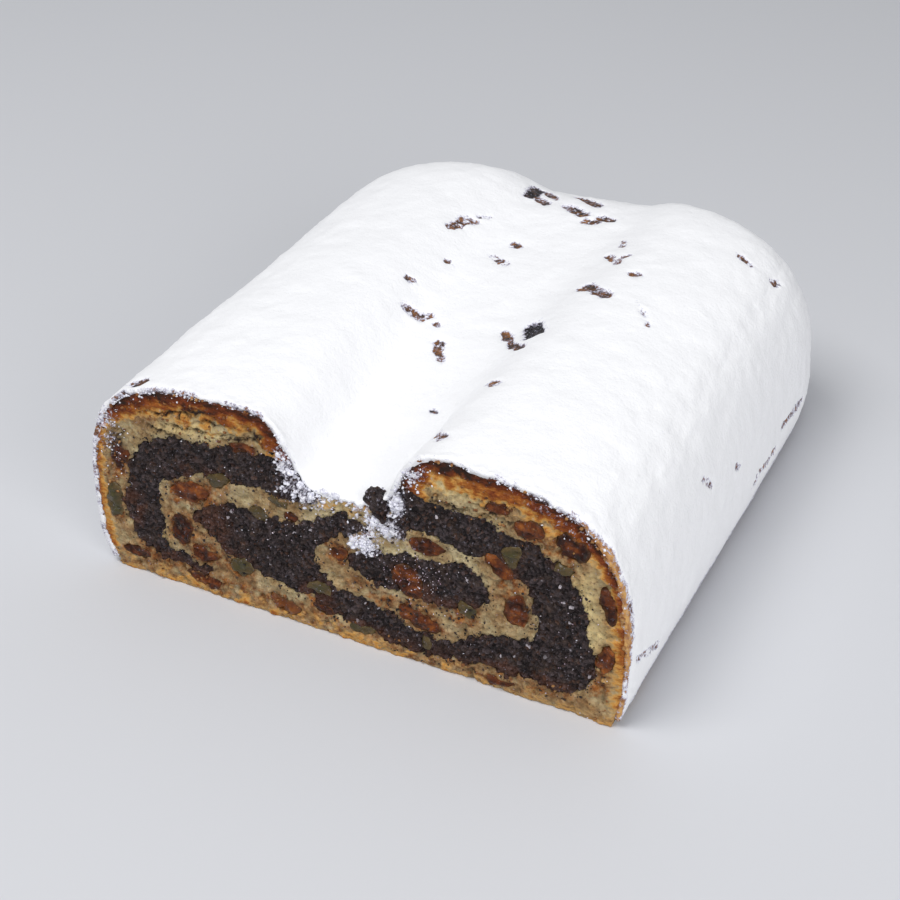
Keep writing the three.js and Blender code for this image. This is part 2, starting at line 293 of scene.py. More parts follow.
# The rim follows the smooth outline of the loaf.
dough_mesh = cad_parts["dough"].data
skin = [list(f.vertices) for f in dough_mesh.polygons if f.normal.y > -0.9]
skin_tree = BVHTree.FromPolygons([v.co.copy() for v in dough_mesh.vertices], skin)
for i, k in zip(*np.nonzero(rim)):
    nearest = skin_tree.find_nearest(Vector((grid_x[i, k], cut_y, grid_z[i, k])), RIM_SNAP)[0]
    if nearest:
        grid_x[i, k], grid_z[i, k] = nearest.x, nearest.z

FULL_SWING = 1.6  # layered noise stays within about 0.6 of its middle


def field(wave_x, wave_z, seed, octaves=1):
    """Noise over the sheet, about -1 to 1. Waves are in mm."""
    flat = [
        noise.fractal(Vector((x / (wave_x * MM), seed, z / (wave_z * MM))), 0.6, 2.1, octaves)
        for x, z in zip(grid_x.ravel(), grid_z.ravel())
    ]
    return np.array(flat).reshape(grid_x.shape) * FULL_SWING


fine = field(1.0, 1.0, 3.1, 2)
coarse = field(3.2, 3.2, 7.7, 2)
broad = field(14, 14, 11.3)
flaky = field(7.0, 1.5, 5.2, 2)
ragged = field(4.5, 3.0, 41.0, 2)


def spot(x, z, wide, high, tilt=0.0):
    """A ragged oval spot on the cut: 1 in its middle, 0.5 at its edge and 0 well outside. Sizes in mm."""
    turn = math.radians(tilt)
    dx = grid_x / MM - x + 0.9 * coarse
    dz = grid_z / MM - z + 0.5 * fine + 0.7 * ragged
    along = (dx * math.cos(turn) + dz * math.sin(turn)) / (wide / 2)
    across = (-dx * math.sin(turn) + dz * math.cos(turn)) / (high / 2)
    return 1 / (1 + (along**2 + across**2) ** 2)


# What kind of crumb each corner belongs to: a corner on a seam takes the highest-numbered of its cells.
owner = corner_cells.max(0)
on_fruit = np.where(owner >= 0, is_fruit[owner], False)
on_filling = np.isin(owner, [i for i, n in enumerate(cut_pieces) if n.startswith(("filling", "cleft"))])
on_dough = owner == cut_pieces.index("dough")

# Baking: the crust is thick and dark on top, thin and golden on the flanks, thinner below. Depths in mm.
CRUST_TOP, CRUST_FLANK, CRUST_BASE = 8.5, 4.2, 2.2
TOP_FROM, TOP_FULL = 44, 52  # heights at which the flank's crust turns into the top's
BASE_BAND = 6 * MM
top_share = np.clip((grid_z / MM - TOP_FROM) / (TOP_FULL - TOP_FROM), 0, 1)
crust_depth = CRUST_FLANK + (CRUST_TOP - CRUST_FLANK) * top_share
crust_depth = np.where(grid_z < BASE_BAND, CRUST_BASE, crust_depth)
bake = np.clip(1 - from_rim / MM / (crust_depth * (1 + 0.35 * coarse)), 0, 1)
flank_bake = np.clip(0.45 + (grid_z / MM - 18) / 60, 0.4, 0.85)
bake *= top_share + (1 - top_share) * np.where(grid_x > 0, flank_bake, 0.55)
bake *= np.where(grid_z < BASE_BAND, 0.42, 1)
bake *= 1 - 0.75 * spot(2, 42, 30, 12)
bake = np.clip(bake + 0.1 * flaky * (bake > 0.02), 0, 1)
bottom = np.clip(1.2 - grid_z / (5.5 * MM), 0, 1) * np.clip(1.2 - (grid_x / MM + 60) / 150, 0.4, 1)
bake = np.clip(np.maximum(bake, bottom * (0.16 + 0.3 * coarse)), 0, 1)

# Juice that fruit and filling left in the crumb. A stain is its middle (x and z), width, height and tilt.
JUICE = [
    (-42, 30, 15, 16, 0), (-40, 16, 15, 9, -40), (-57, 52, 12, 7, 10), (12, 17, 24, 6, -12),
    (22, 22, 10, 6, -30), (-68, 30, 8, 26, 0), (-22, 4, 34, 7, -8), (-52, 6, 24, 7, -10),
    (30, 20, 12, 5, -25), (44, 33, 9, 8, 0), (50, 6, 26, 6, 0), (68, 12, 6, 8, 0), (-3, 27, 7, 6, 0),
    (34, 3, 24, 4, 0), (52, 50, 14, 6, -30), (8, 4, 24, 5, -8), (-8, 10, 10, 6, -20),
    (-41, 21, 15, 18, 0), (-33, 12, 15, 8, -30), (-62, 22, 6, 12, 0),
]
juice = np.zeros_like(grid_x)
for stain in JUICE:
    juice = np.maximum(juice, spot(*stain))
near_fruit = depth_from(seam & np.isin(corner_cells, np.nonzero(is_fruit)[0]).any(0), 8)
juice = juice * (1.15 + 0.8 * coarse) + 0.6 * np.exp(-near_fruit / (1.2 * MM)) * (1 + 0.6 * coarse)
base_share = np.clip(1.2 - grid_z / (9 * MM), 0, 1) * np.clip(1.1 - (grid_x / MM - 20) / 60, 0.5, 1)
juice = np.clip(np.maximum(juice, 1.05 * base_share * (1 + 0.4 * coarse)) + 0.2 * broad, 0, 1)

# Drier crumb that stayed pale under the crust; close to the right flank the pale spots are painted light
# falling from the right, laid over the crumb's own tone.
PALE_AND_LIT = [
    (63, 29, 10, 30, 0), (55, 42, 8, 14, 35), (26, 57, 26, 4, -6), (-44, 51, 26, 4, 8), (29, 28, 6, 10, 0),
]
pale_and_lit = np.zeros_like(grid_x)
for stain in PALE_AND_LIT:
    pale_and_lit = np.maximum(pale_and_lit, spot(*stain))
pale_and_lit = np.clip(pale_and_lit * (1 + 0.7 * coarse), 0, 1)

# Ground poppy seed smeared and pressed into the crumb beside the filling.
is_filling = np.array([name.startswith("filling") for name in cut_pieces])
near_filling = depth_from(seam & np.isin(corner_cells, np.nonzero(is_filling)[0]).any(0), 12)
smear = np.clip(0.62 * np.exp(-near_filling / (0.9 * MM)) - 0.03 + 0.2 * broad + 0.2 * coarse, 0, 1)

# Crumb scorched dark, and cracks in the flaky crust. The cracks are sunk into the cut and also painted
# nearly black, which is painted shade in them.
SCORCH = [
    (-40, 57.3, 8, 2, 8), (29, 61.6, 12, 2.8, 3), (17, 51.5, 4, 1.5, 0), (-66, 41, 5, 4, 0),
    (-63, 54, 3, 2, 0), (-24, 55, 6, 2, -30), (-52, 58.5, 6, 1.5, 5),
]
CRACKS = [
    (-48.5, 54, 14, 0.9, 13), (-35.5, 54.8, 10, 0.8, 15), (-28, 52.8, 12, 0.8, 8), (-52, 48.2, 9, 0.9, -3),
    (28, 51.6, 9, 0.8, 2), (-66, 43, 6, 0.8, 30), (-44, 51, 12, 0.7, 6), (40, 52.5, 10, 0.8, -18),
]
scorch_and_crack_shade = np.zeros_like(grid_x)
for dark_spot in SCORCH + CRACKS:
    scorch_and_crack_shade = np.maximum(scorch_and_crack_shade, spot(*dark_spot) * (1 + 0.8 * fine))
scorch_and_crack_shade = np.clip(scorch_and_crack_shade, 0, 1)
crack = np.zeros_like(grid_x)
for split in CRACKS:
    crack = np.maximum(crack, spot(*split))

# Sugar that the knife dragged over the cut: each place as above, and how thickly the sugar lies there.
DUST = [
    (9.8, 40, 11, 4.8, -22, 1.0), (6, 32.5, 6, 5.5, 0, 1.0), (7, 36.2, 5, 5, 0, 0.7),
    (1, 43.4, 12, 2.4, -8, 0.6), (-10, 42.5, 12, 8, -30, 0.5), (-69, 47, 7, 20, 0, 0.45),
    (-67, 56, 11, 5, 20, 0.45), (14.4, 47.2, 3.6, 7, 0, 1.0), (70, 48, 4, 14, 25, 0.12),
    (-14, 53, 4, 4, 0, 0.6), (19, 57, 7, 4, 30, 0.5), (-16, 49, 5, 7, 30, 0.75),
    (54, 57, 16, 2.4, -24, 0.3),
]
dust = np.zeros_like(grid_x)
for *place, strength in DUST:
    dust = np.maximum(dust, spot(*place) * strength)
dust = np.maximum(dust, 0.4 * np.exp(-from_rim / (0.4 * MM)) * (grid_z > 16 * MM) * (grid_x < 60 * MM))
dust = np.clip(dust * (1 + 0.5 * coarse + 0.4 * fine), 0, 1)

# The relief that the knife leaves, out of the cut (in mm, towards the front).
pores = np.clip(field(2.4, 2.0, 21.0) - 0.25, 0, 1)
relief = 0.35 * broad + 0.22 * coarse
relief += np.where(on_dough, 0.2 * fine - 1.3 * pores * (1 - bake) + 0.4 * bake * flaky - 0.9 * crack, 0)
relief += np.where(on_filling, 0.5 * fine + 0.35 * coarse - 0.3, 0)
dome = np.clip(from_seam / (2.4 * MM), 0, 1) ** 0.7
relief += np.where(on_fruit, 0.45 * dome - 0.2 + 0.5 * field(3.2, 1.8, 31.0, 2), 0)
relief += 0.4 * dust * np.abs(fine + 0.4)
relief -= 0.5 * np.exp(-from_rim / (0.5 * MM))

for name, values in (
    ("bake", bake),
    ("juice", juice),
    ("pale_and_lit", pale_and_lit),
    ("smear", smear),
    ("scorch_and_crack_shade", scorch_and_crack_shade),
    ("dust", dust),
    ("edge", np.clip(from_seam / (2.5 * MM), 0, 1)),
):
    carried = cut.data.attributes.new(name, "FLOAT", "POINT")
    carried.data.foreach_set("value", values[point_column, point_row].astype(np.float32))
points[:, 0] = grid_x[point_column, point_row]
points[:, 1] = cut_y - relief[point_column, point_row] * MM
points[:, 2] = np.maximum(grid_z[point_column, point_row], 0)
cut.data.vertices.foreach_set("co", points.ravel())
cut.data.attributes.new("piece", "INT", "FACE").data.foreach_set(
    "value", label[cell_column, cell_row].astype(np.int32)
)

SLICE = 3 * MM  # how deep the rough slice reaches behind the cut
SETBACK = 1.4 * MM  # the smooth solid behind it starts this far back


def take_slice(number):
    """Separates one piece's crumbs from the sheet and gives them depth behind the cut."""
    bpy.ops.object.select_all(action="DESELECT")
    cut.select_set(True)
    bpy.context.view_layer.objects.active = cut
    owners = np.zeros(len(cut.data.polygons), np.int32)
    cut.data.attributes["piece"].data.foreach_get("value", owners)
    bpy.ops.object.mode_set(mode="EDIT")
    bpy.ops.mesh.select_mode(type="FACE")
    bpy.ops.mesh.select_all(action="DESELECT")
    bpy.ops.object.mode_set(mode="OBJECT")
    cut.data.polygons.foreach_set("select", owners == number)
    bpy.ops.object.mode_set(mode="EDIT")
    bpy.ops.mesh.separate(type="SELECTED")
    bpy.ops.object.mode_set(mode="OBJECT")
    part = next(o for o in bpy.context.selected_objects if o != cut)
    bpy.ops.object.select_all(action="DESELECT")
    part.select_set(True)
    bpy.context.view_layer.objects.active = part
    bpy.ops.object.mode_set(mode="EDIT")
    bpy.ops.mesh.select_all(action="SELECT")
    bpy.ops.mesh.extrude_region_move(TRANSFORM_OT_translate={"value": (0, SLICE, 0)})
    bpy.ops.mesh.select_all(action="SELECT")
    bpy.ops.mesh.normals_make_consistent(inside=False)
    bpy.ops.object.mode_set(mode="OBJECT")
    return part


def body_behind(name):
    """A copy of a CAD node, merged to one skin, with its front set back behind the rough slice."""
    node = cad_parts[name]
    body = node.copy()
    body.data = node.data.copy()
    for key in list(body.keys()):
        del body[key]
    body.parent = None
    bpy.context.scene.collection.objects.link(body)
    bpy.ops.object.select_all(action="DESELECT")
    body.select_set(True)
    bpy.context.view_layer.objects.active = body
    bpy.ops.object.mode_set(mode="EDIT")
    bpy.ops.mesh.select_all(action="SELECT")
    bpy.ops.mesh.remove_doubles(threshold=0.005 * MM)
    bpy.ops.object.mode_set(mode="OBJECT")
    for vertex in body.data.vertices:
        if vertex.co.y < cut_y + 0.05 * MM:
            vertex.co.y = cut_y + SETBACK
    return body


def whole_piece(name):
    """The rough slice of a piece joined to the smooth solid behind it."""
    front = take_slice(cut_pieces.index(name))
    back = body_behind(name)
    bpy.ops.object.select_all(action="DESELECT")
    back.select_set(True)
    front.select_set(True)
    bpy.context.view_layer.objects.active = front
    front.data.materials.clear()
    back.data.materials.clear()
    bpy.ops.object.join()
    front.name = name + "_baked"
    bpy.ops.object.shade_smooth()
    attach(front, "root")
    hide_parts(name)
    return front


# ---------------------------------------------------------------------------------------------------------
# Dough: a rich yeast dough, rolled up round the filling and baked until the top is chestnut brown. Inside
# is a dense cream crumb with fine pores, stained where fruit and filling lie against it.
# ---------------------------------------------------------------------------------------------------------
dough = whole_piece("dough")
count = len(dough.data.vertices)
place_of = np.array([v.co for v in dough.data.vertices])
# Away from the cut all of the skin is crust, lightly dusted.
behind = place_of[:, 1] > cut_y + SLICE + 0.5 * MM
SKIN = {"bake": 0.78, "dust": 0.4, "juice": 0.0, "pale_and_lit": 0.0, "smear": 0.0, "scorch_and_crack_shade": 0.1}
for name, level in SKIN.items():
    values = np.zeros(count, np.float32)
    dough.data.attributes[name].data.foreach_get("value", values)
    values[behind] = level
    dough.data.attributes[name].data.foreach_set("value", values)


def cells_of(size):
    """The scale of a pattern whose cells are some millimetres wide."""
    return 1 / (size * MM)


def attribute(tree, name):
    """A value that the mesh carries from point to point."""
    return add_node(tree, "ShaderNodeAttribute", attribute_name=name).outputs["Fac"]


def mixed(tree, share, under, over):
    """One colour laid over another by a share from 0 to 1."""
    made = add_node(tree, "ShaderNodeMix", {"Factor": share, 6: under, 7: over}, data_type="RGBA")
    return made.outputs[2]


def stretched(tree, value, low_in, high_in, low_out=0.0, high_out=1.0):
    """A value stretched from one range to another."""
    ends = {"From Min": low_in, "From Max": high_in, "To Min": low_out, "To Max": high_out}
    return add_node(tree, "ShaderNodeMapRange", {"Value": value, **ends}).outputs[0]


def sugared(tree, place, colour):
    """Sugar over a colour, bluish where it lies thin. Sifted grains are too fine to show, so they are
    drawn 0.8 mm wide."""
    grain = add_node(
        tree,
        "ShaderNodeTexNoise",
        {"Vector": place, "Scale": cells_of(0.77), "Detail": 3, "Roughness": 0.7},
    )
    level = stretched(tree, grain.outputs["Fac"], 0.28, 0.72)
    dust_in = attribute(tree, "dust")
    gap = add_node(tree, "ShaderNodeMath", {0: dust_in, 1: level}, operation="SUBTRACT").outputs[0]
    thin = mixed(tree, stretched(tree, gap, -0.2, 0.05, 0, 0.75), colour, linear("#a9a4b4"))
    return mixed(tree, stretched(tree, gap, 0.02, 0.3), thin, linear("#f2f1f8"))


crumb, tree, shader = new_material(
    "baked_yeast_dough",
    {
        "Roughness": 0.72,
        "IOR": 1.45,
        "Specular IOR Level": 0.25,
        "Subsurface Weight": 0.12,
        "Subsurface Radius": (0.0018, 0.0011, 0.0006),
        "Subsurface Scale": 1.0,
    },
)
place = add_node(tree, "ShaderNodeTexCoord").outputs["Object"]
# Cream crumb in three tones, in cells 2.4 mm wide, with darker pores 0.7 mm wide.
tone = add_node(
    tree, "ShaderNodeTexNoise", {"Vector": place, "Scale": cells_of(2.4), "Detail": 4, "Roughness": 0.66}
)
cream = add_node(
    tree,
    "ShaderNodeValToRGB",
    {"Fac": tone.outputs["Fac"]},
    stops=[(0.32, "#7a6140"), (0.5, "#a79068"), (0.68, "#d3c299")],
)
# Patches about 6 mm wide where the crumb is oilier, browner or paler.
patch = add_node(
    tree, "ShaderNodeTexNoise", {"Vector": place, "Scale": cells_of(6), "Detail": 3, "Roughness": 0.6}
)
patch_colour = add_node(
    tree,
    "ShaderNodeValToRGB",
    {"Fac": patch.outputs["Fac"]},
    stops=[(0.34, "#734e2b"), (0.46, "#a58b62"), (0.56, "#aba07c"), (0.68, "#dfcfa6")],
)
cream_colour = mixed(tree, 0.5, cream.outputs[0], patch_colour.outputs[0])
# Paler crumb: drier under the crust, and painted light close to the right flank.
pale_and_lit_share = stretched(tree, attribute(tree, "pale_and_lit"), 0.2, 0.9, 0, 0.6)
cream_colour = mixed(tree, pale_and_lit_share, cream_colour, linear("#e0c88f"))
pore = add_node(
    tree, "ShaderNodeTexNoise", {"Vector": place, "Scale": cells_of(0.67), "Detail": 2, "Roughness": 0.5}
)
pore_share = stretched(tree, pore.outputs["Fac"], 0.56, 0.7, 0, 0.6)
colour = mixed(tree, pore_share, cream_colour, linear("#54402a"))
# Juice turns the crumb amber brown.
blot = add_node(
    tree, "ShaderNodeTexNoise", {"Vector": place, "Scale": cells_of(1.7), "Detail": 3, "Roughness": 0.6}
)
blot_share = stretched(tree, blot.outputs["Fac"], 0.32, 0.62, 0.3, 1)
juice_share = add_node(
    tree, "ShaderNodeMath", {0: attribute(tree, "juice"), 1: blot_share}, operation="MULTIPLY"
)
amber = add_node(
    tree,
    "ShaderNodeValToRGB",
    {"Fac": tone.outputs["Fac"]},
    stops=[(0.35, "#45240f"), (0.5, "#7a461e"), (0.65, "#a66a30")],
)
colour = mixed(tree, juice_share.outputs[0], colour, amber.outputs[0])
# Poppy seed pressed into the crumb: a grey smear, and seeds 0.8 mm wide. A seed shows where the smear is
# stronger than the number that the seed drew.
seeds = add_node(tree, "ShaderNodeTexVoronoi", {"Vector": place, "Scale": cells_of(0.83)})
draw = add_node(tree, "ShaderNodeSeparateColor", {"Color": seeds.outputs["Color"]})
smear_in = attribute(tree, "smear")
colour = mixed(tree, stretched(tree, smear_in, 0.25, 1.0, 0, 0.5), colour, linear("#5a4d3a"))
seed_gap = add_node(tree, "ShaderNodeMath", {0: smear_in, 1: draw.outputs[0]}, operation="SUBTRACT")
near_middle = stretched(tree, seeds.outputs["Distance"], 0.38, 0.25)
seed_share = add_node(
    tree,
    "ShaderNodeMath",
    {0: stretched(tree, seed_gap.outputs[0], 0.0, 0.08), 1: near_middle},
    operation="MULTIPLY",
)
colour = mixed(tree, seed_share.outputs[0], colour, linear("#2a211d"))
# Baking goes from straw through orange brown to chestnut. Noise breaks it into flakes about 2 mm wide, and
# less than half as thick.
flat = add_node(tree, "ShaderNodeMapping", {"Vector": place, "Scale": (1, 1, 2.4)})
flake = add_node(
    tree,
    "ShaderNodeTexNoise",
    {"Vector": flat.outputs[0], "Scale": cells_of(2.1), "Detail": 5, "Roughness": 0.72},
)
bake_in = attribute(tree, "bake")
flake_swing = stretched(tree, flake.outputs["Fac"], 0.2, 0.8, -0.3, 0.3)
flake_share = stretched(tree, bake_in, 0.0, 0.2, 0.15, 1)
flake_shift = add_node(tree, "ShaderNodeMath", {0: flake_swing, 1: flake_share}, operation="MULTIPLY")
bake_sum = add_node(tree, "ShaderNodeMath", {0: bake_in, 1: flake_shift.outputs[0]}, operation="ADD")
crust = add_node(
    tree,
    "ShaderNodeValToRGB",
    {"Fac": bake_sum.outputs[0]},
    stops=[(0.1, "#cfa96c"), (0.3, "#c58f47"), (0.48, "#9c5b22"), (0.7, "#713314"), (0.95, "#351a0b")],
)
colour = mixed(tree, stretched(tree, bake_sum.outputs[0], 0.05, 0.24), colour, crust.outputs[0])
# Scorched crumb, and painted shade in the cracks of the crust: both nearly black.
colour = mixed(tree, attribute(tree, "scorch_and_crack_shade"), colour, linear("#2a1b14"))
tree.links.new(sugared(tree, place, colour), shader.inputs["Base Color"])
height = add_node(
    tree, "ShaderNodeMath", {0: pore.outputs["Fac"], 1: flake.outputs["Fac"]}, operation="ADD"
)
bump = add_node(
    tree, "ShaderNodeBump", {"Height": height.outputs[0], "Strength": 0.6, "Distance": 0.0005}
)
tree.links.new(bump.outputs[0], shader.inputs["Normal"])
dough.data.materials.append(crumb)

# ---------------------------------------------------------------------------------------------------------
# Poppy-seed filling: seeds ground with sugar and milk, boiled to a stiff paste and spread on the dough
# before it was rolled. Cut, it is nearly black and grainy, with blue-grey seed coats and points of sugar.
# ---------------------------------------------------------------------------------------------------------
paste, tree, shader = new_material(
    "ground_poppy_seed_paste", {"Roughness": 0.5, "IOR": 1.45, "Specular IOR Level": 0.28}
)
place = add_node(tree, "ShaderNodeTexCoord").outputs["Object"]
mottle = add_node(
    tree, "ShaderNodeTexNoise", {"Vector": place, "Scale": cells_of(3.1), "Detail": 5, "Roughness": 0.65}
)
dark = add_node(
    tree,
    "ShaderNodeValToRGB",
    {"Fac": mottle.outputs["Fac"]},
    stops=[(0.32, "#130e0e"), (0.5, "#251c1c"), (0.7, "#45362e")],
)
# Each seed is a cell 0.8 mm wide with a tone of its own; one in 200 is a clear grain of sugar.
seeds = add_node(tree, "ShaderNodeTexVoronoi", {"Vector": place, "Scale": cells_of(0.8)})
draw = add_node(tree, "ShaderNodeSeparateColor", {"Color": seeds.outputs["Color"]})
light_share = stretched(tree, draw.outputs[0], 0.5, 1.0, 0, 0.85)
colour = mixed(tree, light_share, dark.outputs[0], linear("#4e4345"))
brown_share = stretched(tree, draw.outputs[2], 0.86, 0.95, 0, 0.4)
colour = mixed(tree, brown_share, colour, linear("#5b3a26"))
colour = mixed(tree, stretched(tree, draw.outputs[1], 0.994, 0.996), colour, linear("#b8b0b6"))
soaked = stretched(tree, attribute(tree, "juice"), 0.2, 1, 0, 0.45)
colour = mixed(tree, soaked, colour, linear("#5e3622"))
tree.links.new(sugared(tree, place, colour), shader.inputs["Base Color"])
bump = add_node(
    tree, "ShaderNodeBump", {"Height": seeds.outputs["Distance"], "Strength": 0.9, "Distance": 0.0006}
)
tree.links.new(bump.outputs[0], shader.inputs["Normal"])
for name in ("filling_left", "filling_right", "filling_core", "cleft_crumb"):
    filling = whole_piece(name)
    if name == "cleft_crumb":
        # A broken lump, not a cut one: its two parts are fused and then roughened all over.
        fuse = filling.modifiers.new("fuse", "REMESH")
        fuse.mode = "VOXEL"
        fuse.voxel_size = 0.3 * MM
        bpy.ops.object.modifier_apply(modifier="fuse")
        bpy.ops.object.shade_smooth()
        for vertex in filling.data.vertices:
            p = vertex.co
            rough = 0.75 * noise.noise(p / (2.2 * MM)) + 0.4 * noise.noise(p / (0.9 * MM))
            p += vertex.normal * rough * MM
        # It leans down to the cut, and its lower end meets the smeared finger of filling.
        bpy.ops.object.select_all(action="DESELECT")
        filling.select_set(True)
        bpy.context.view_layer.objects.active = filling
        crumb_low, crumb_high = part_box("cleft_crumb")
        bpy.ops.object.mode_set(mode="EDIT")
        bpy.ops.mesh.select_all(action="SELECT")
        crumb_middle = (crumb_low + crumb_high) / 2
        bpy.ops.transform.resize(value=(0.9, 0.9, 1.25), center_override=crumb_middle)
        bpy.ops.transform.rotate(value=math.radians(38), orient_axis="Y", center_override=crumb_middle)
        bpy.ops.transform.translate(value=(0.6 * MM, -1.6 * MM, -1.2 * MM))
        bpy.ops.object.mode_set(mode="OBJECT")
        powdered = [
            0.22 * max(v.normal.z, 0) ** 2 + 0.3 * noise.noise(v.co / (1.6 * MM))
            for v in filling.data.vertices
        ]
        filling.data.attributes.new("dust", "FLOAT", "POINT").data.foreach_set("value", powdered)
    filling.data.materials.append(paste)

# ---------------------------------------------------------------------------------------------------------
# Raisins: sultanas swollen with rum and kneaded into the dough, so the knife cut through them. Their
# wrinkled brown skins ring translucent amber flesh.
# ---------------------------------------------------------------------------------------------------------
def soft_edge(tree, pattern, colour, edge_colour):
    """A fruit's edge soaks into the crumb round it, by up to 0.6 mm."""
    shift = stretched(tree, pattern.outputs["Fac"], 0.3, 0.7, -0.16, 0.16)
    reach = add_node(tree, "ShaderNodeMath", {0: attribute(tree, "edge"), 1: shift}, operation="ADD")
    return mixed(tree, stretched(tree, reach.outputs[0], 0.0, 0.22, 0.5, 0.0), colour, linear(edge_colour))


sultana, tree, shader = new_material(
    "soaked_sultana",
    {
        "Roughness": 0.36,
        "IOR": 1.45,
        "Specular IOR Level": 0.22,
        "Subsurface Weight": 0.2,
        "Subsurface Radius": (0.003, 0.0012, 0.0005),
        "Subsurface Scale": 1.0,
    },
)
place = add_node(tree, "ShaderNodeTexCoord").outputs["Object"]
flesh = add_node(
    tree, "ShaderNodeTexNoise", {"Vector": place, "Scale": cells_of(3), "Detail": 4, "Roughness": 0.62}
)
shift = stretched(tree, flesh.outputs["Fac"], 0.3, 0.7, -0.5, 0.5)
to_middle = stretched(tree, attribute(tree, "edge"), 0, 1, 0.36, 0.5)
flesh_sum = add_node(tree, "ShaderNodeMath", {0: to_middle, 1: shift}, operation="ADD")
flesh_tone = add_node(
    tree, "ShaderNodeMath", {0: flesh_sum.outputs[0], 1: attribute(tree, "ripe")}, operation="ADD"
)
flesh_colour = add_node(
    tree,
    "ShaderNodeValToRGB",
    {"Fac": flesh_tone.outputs[0]},
    stops=[(0.0, "#1d0d08"), (0.3, "#37190e"), (0.6, "#5a2c14"), (0.85, "#7a421b"), (1.0, "#8f5425")],
)
colour = soft_edge(tree, flesh, flesh_colour.outputs[0], "#69421f")
tree.links.new(sugared(tree, place, colour), shader.inputs["Base Color"])
bump = add_node(
    tree, "ShaderNodeBump", {"Height": flesh.outputs["Fac"], "Strength": 0.6, "Distance": 0.0008}
)
tree.links.new(bump.outputs[0], shader.inputs["Normal"])
fruit_draw = random.Random(5)
for name in [n for n in cut_pieces if n.startswith("raisin")]:
    raisin = whole_piece(name)
    ripe = raisin.data.attributes.new("ripe", "FLOAT", "POINT")
    ripe.data.foreach_set("value", [fruit_draw.uniform(-0.22, 0.22)] * len(raisin.data.vertices))
    raisin.data.materials.append(sultana)

# ---------------------------------------------------------------------------------------------------------
# Candied peel: dice of citron and orange boiled in syrup and kneaded in with the raisins. They are dull
# green to brown and glassy, with soft edges.
# ---------------------------------------------------------------------------------------------------------
ORANGE_DICE = ("peel_06",)
for kind, stops in (
    ("candied_citron", [(0.0, "#5c482a"), (0.45, "#4a3f24"), (0.75, "#403b22"), (1.0, "#4f4a2c")]),
    ("candied_orange", [(0.0, "#542a10"), (0.45, "#733f16"), (0.75, "#84501c"), (1.0, "#95602a")]),
):
    syrup, tree, shader = new_material(
        kind,
        {
            "Roughness": 0.3,
            "IOR": 1.45,
            "Specular IOR Level": 0.35,
            "Subsurface Weight": 0.2,
            "Subsurface Radius": (0.002, 0.002, 0.0008),
            "Subsurface Scale": 1.0,
        },
    )
    place = add_node(tree, "ShaderNodeTexCoord").outputs["Object"]
    clouds = add_node(
        tree,
        "ShaderNodeTexNoise",
        {"Vector": place, "Scale": cells_of(3.3), "Detail": 4, "Roughness": 0.6},
    )
    shift = stretched(tree, clouds.outputs["Fac"], 0.3, 0.7, -0.4, 0.4)
    to_middle = stretched(tree, attribute(tree, "edge"), 0, 1, 0.2, 0.75)
    clouds_sum = add_node(tree, "ShaderNodeMath", {0: to_middle, 1: shift}, operation="ADD")
    peel_colour = add_node(tree, "ShaderNodeValToRGB", {"Fac": clouds_sum.outputs[0]}, stops=stops)
    colour = soft_edge(tree, clouds, peel_colour.outputs[0], "#5f5230")
    tree.links.new(sugared(tree, place, colour), shader.inputs["Base Color"])
    bump = add_node(
        tree, "ShaderNodeBump", {"Height": clouds.outputs["Fac"], "Strength": 0.5, "Distance": 0.0006}
    )
    tree.links.new(bump.outputs[0], shader.inputs["Normal"])
    for name in [n for n in cut_pieces if n.startswith("peel")]:
        if (name in ORANGE_DICE) == (kind == "candied_orange"):
            peel = whole_piece(name)
            peel.data.materials.append(syrup)
bpy.data.objects.remove(cut)

# ---------------------------------------------------------------------------------------------------------
# Icing sugar: the warm loaf is brushed with butter and sifted over until it is white. The sugar packs into
# a soft crust of its own, ragged at the cut, thin where it was rubbed and broken over dark spots.
# ---------------------------------------------------------------------------------------------------------
SIFT = 1.5 * MM  # cell of the sheet
COAT = 1.7 * MM  # how far its top lies above the dough
CORE = 24 * MM  # the sheet is drawn in towards a core that lies this deep inside
OUTSIDE, REACH = 20 * MM, 100 * MM  # a search for the dough starts this far out and goes this far in
FRONT_GAP = 0.3 * MM  # the sheet stops this far behind the cut
ON_EDGE = 0.1 * MM  # how close to an edge of the sheet a point counts as on it
low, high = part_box("sugar_coat")
loaf_tree = faces_of(["dough", "filling_left", "filling_right", "filling_core"])[0]
bpy.ops.object.select_all(action="DESELECT")
across = round((high.x - low.x) / SIFT)
along = round((high.y - low.y) / SIFT)
bpy.ops.mesh.primitive_grid_add(x_subdivisions=across, y_subdivisions=along, size=1)
sugar = bpy.context.object
sugar.name = "icing_sugar"
sugar.scale = (high.x - low.x, high.y - low.y, 1)
sugar.location = ((low.x + high.x) / 2, (low.y + high.y) / 2, high.z)
bpy.ops.object.transform_apply(location=True, rotation=True, scale=True)
# The flanks and the back hang down from the top like the sides of a lid.
for edge in sugar.data.edges:
    a, b = (sugar.data.vertices[i].co for i in edge.vertices)
    flank = min(abs(a.x), abs(b.x)) > high.x - ON_EDGE and a.x * b.x > 0
    edge.select = flank or min(a.y, b.y) > high.y - ON_EDGE
for vertex in sugar.data.vertices:
    vertex.select = abs(vertex.co.x) > high.x - ON_EDGE or vertex.co.y > high.y - ON_EDGE
for face in sugar.data.polygons:
    face.select = False
bpy.ops.object.mode_set(mode="EDIT")
bpy.ops.mesh.select_mode(type="EDGE")
steps = round((high.z - low.z) / SIFT)
for _ in range(steps):
    bpy.ops.mesh.extrude_edges_move(TRANSFORM_OT_translate={"value": (0, 0, (low.z - high.z) / steps)})
bpy.ops.mesh.select_all(action="SELECT")
bpy.ops.mesh.normals_make_consistent(inside=False)
bpy.ops.object.mode_set(mode="OBJECT")

